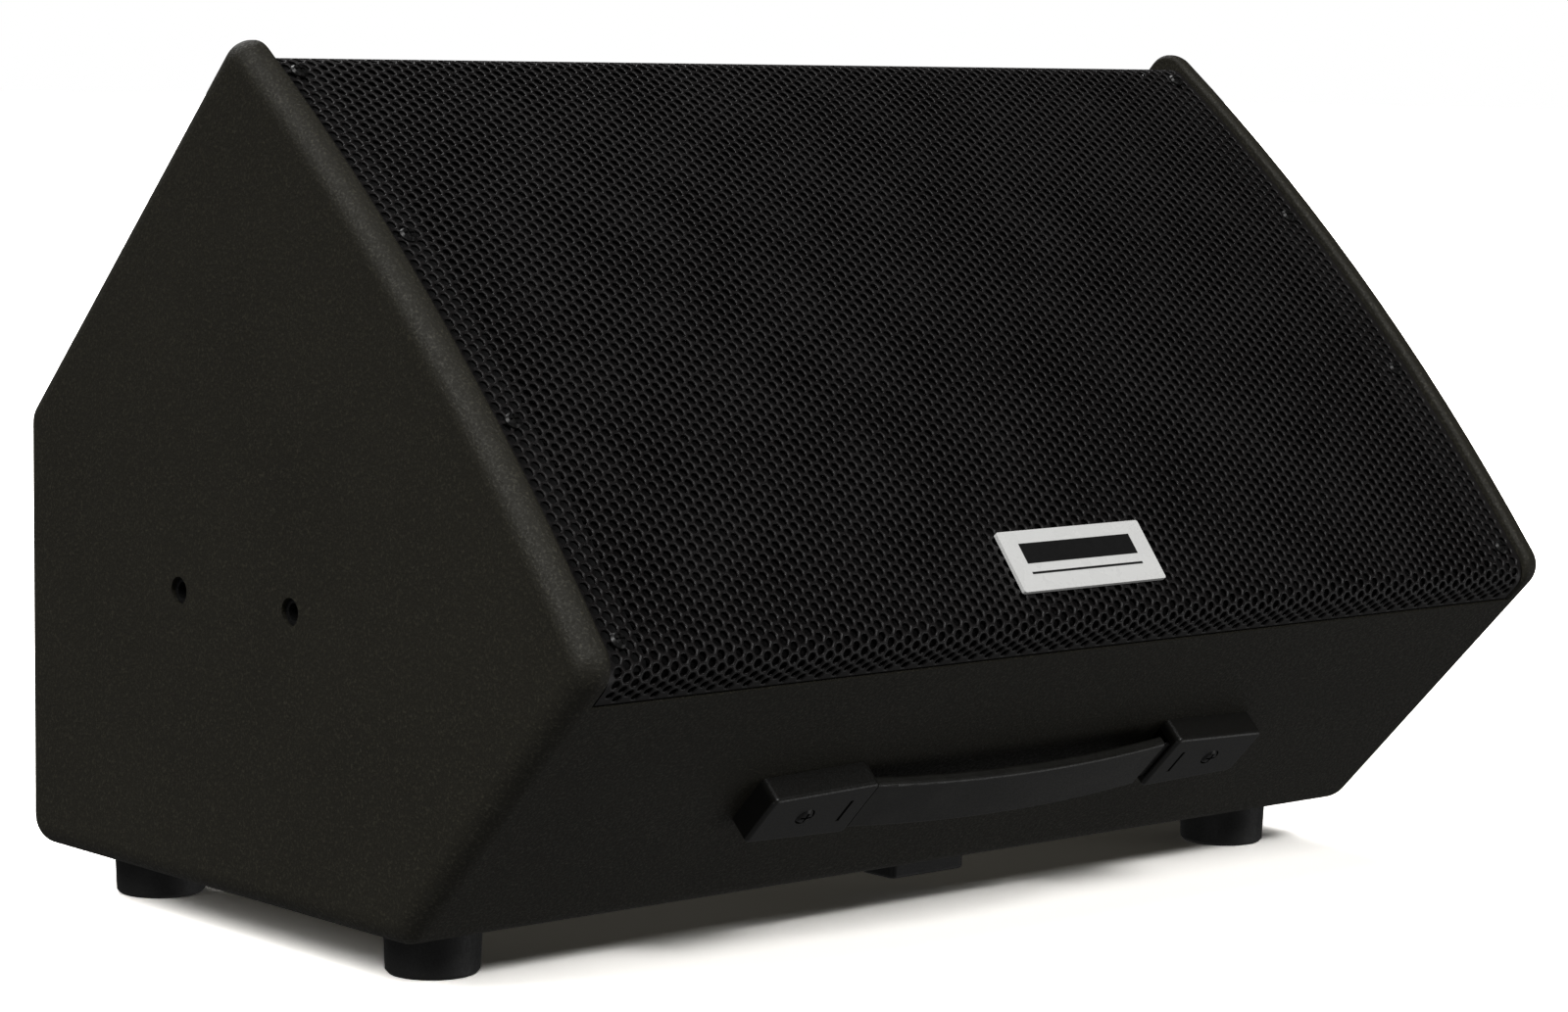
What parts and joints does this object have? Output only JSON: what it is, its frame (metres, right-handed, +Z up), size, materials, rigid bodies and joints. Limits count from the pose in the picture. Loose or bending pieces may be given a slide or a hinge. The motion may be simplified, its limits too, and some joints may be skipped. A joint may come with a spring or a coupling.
{
  "type": "stage monitor wedge",
  "caption": "Self-powered floor monitor wedge: textured cabinet, bowed perforated grille, strap handle, rubber feet, recessed rear control plate.",
  "frame": {"origin": "on the floor under the middle of the cabinet outline", "axes": "+X across the front to the viewer's right, front faces -Y, +Z up"},
  "size_m": [0.52, 0.37, 0.3498],
  "materials": {
    "cabinet_paint": "black water-based textured paint over plywood",
    "baffle_black": "matt black paint over plywood",
    "grille_steel": "satin black powder coat",
    "grille_foam": "open-cell acoustic foam",
    "black_screw": "black oxide",
    "badge_plate": "fine brushed",
    "foot_rubber": "moulded black rubber",
    "handle_plastic": "moulded black plastic",
    "handle_vinyl": "moulded black vinyl",
    "zinc_steel": "bright zinc plate",
    "cast_basket": "black powder coat",
    "cone_paper": "pressed pulp",
    "surround_cloth": "treated cloth",
    "spider_cloth": "phenolic-dipped cloth",
    "voice_coil": "enamelled copper wire on a former",
    "ferrite": "sintered ferrite",
    "horn_plastic": "moulded black plastic",
    "diaphragm": "thin formed foil",
    "port_plastic": "moulded black plastic",
    "amp_panel": "black powder coat",
    "heat_sink": "black anodised",
    "circuit_board": "glass-fibre laminate with solder resist",
    "component": "moulded casings",
    "nylon": "natural nylon",
    "socket_plastic": "moulded black plastic",
    "knob_plastic": "moulded black plastic",
    "rocker_plastic": "gloss black plastic",
    "winding_tape": "polyester tape over copper windings",
    "lead_sheath": "flexible PVC sheath"
  },
  "bodies": {
    "cabinet": {"left_side_panel": "cabinet_paint", "right_side_panel": "cabinet_paint", "bottom_panel": "cabinet_paint", "lower_front_panel": "cabinet_paint", "upper_rear_panel": "cabinet_paint", "rear_panel": "cabinet_paint", "baffle_board": "baffle_black", "grille_battens": "baffle_black", "grille": "grille_steel", "grille_foam": "grille_foam", "grille_screws": "black_screw", "badge": "badge_plate", "foot_front_left": "foot_rubber", "foot_front_right": "foot_rubber", "foot_rear_left": "foot_rubber", "foot_rear_right": "foot_rubber", "foot_screws": "zinc_steel", "bumper_pad": "foot_rubber", "handle_cap_left": "handle_plastic", "handle_cap_right": "handle_plastic", "handle_screws": "black_screw", "side_inserts": "black_screw", "woofer_basket": "cast_basket", "woofer_gasket": "surround_cloth", "woofer_top_plate": "zinc_steel", "woofer_magnet": "ferrite", "woofer_back_plate": "zinc_steel", "woofer_terminals": "socket_plastic", "baffle_screws": "black_screw", "horn": "horn_plastic", "driver_magnet": "ferrite", "driver_clamp_ring": "zinc_steel", "driver_cap": "cast_basket", "port_tubes": "port_plastic", "amp_plate": "amp_panel", "heat_sink": "heat_sink", "amp_board": "circuit_board", "board_components": "component", "board_pillars": "nylon", "power_transformer": "winding_tape", "input_socket": "socket_plastic", "link_socket": "socket_plastic", "mains_inlet": "socket_plastic", "switch_frame": "socket_plastic", "potentiometers": "zinc_steel", "plate_screws": "black_screw", "speaker_leads": "lead_sheath"},
    "woofer_moving_parts": {"woofer_cone": "cone_paper", "woofer_dust_cap": "cone_paper", "woofer_voice_coil": "voice_coil", "woofer_surround": "surround_cloth", "woofer_spider": "spider_cloth"},
    "hf_diaphragm": {"hf_diaphragm": "diaphragm"},
    "level_knob": {"level_knob": "knob_plastic"},
    "bass_knob": {"bass_knob": "knob_plastic"},
    "treble_knob": {"treble_knob": "knob_plastic"},
    "power_rocker": {"power_rocker": "rocker_plastic"},
    "input_latch": {"input_latch": "zinc_steel"},
    "handle_strap": {"handle_strap": "handle_vinyl", "handle_strip": "black_screw"}
  },
  "joints": [
    {"name": "woofer_stroke", "type": "slide", "parent": "cabinet", "child": "woofer_moving_parts", "axis": [0, -0.7026, 0.7116], "range_m": [-0.004, 0.004], "stiffness_N_per_m": 3600, "deforming": ["woofer_surround", "woofer_spider"]},
    {"name": "hf_stroke", "type": "slide", "parent": "cabinet", "child": "hf_diaphragm", "axis": [0, -0.7026, 0.7116], "range_m": [-0.0003, 0.0003], "stiffness_N_per_m": 3000},
    {"name": "level_knob_turn", "type": "hinge", "parent": "cabinet", "child": "level_knob", "pos_m": [-0.032, 0.168, 0.132], "axis": [0, 1, 0], "range_deg": [-150, 150]},
    {"name": "bass_knob_turn", "type": "hinge", "parent": "cabinet", "child": "bass_knob", "pos_m": [-0.062, 0.168, 0.132], "axis": [0, 1, 0], "range_deg": [-150, 150]},
    {"name": "treble_knob_turn", "type": "hinge", "parent": "cabinet", "child": "treble_knob", "pos_m": [-0.092, 0.168, 0.132], "axis": [0, 1, 0], "range_deg": [-150, 150]},
    {"name": "power_rocker_tilt", "type": "hinge", "parent": "cabinet", "child": "power_rocker", "pos_m": [-0.118, 0.1645, 0.132], "axis": [0, 0, 1], "range_deg": [0, 16]},
    {"name": "input_latch_press", "type": "slide", "parent": "cabinet", "child": "input_latch", "axis": [0, -1, 0], "range_m": [0, 0.002], "stiffness_N_per_m": 300},
    {"name": "handle_strap_slide", "type": "slide", "parent": "cabinet", "child": "handle_strap", "axis": [1, 0, 0], "range_m": [0, 0.006]}
  ]
}
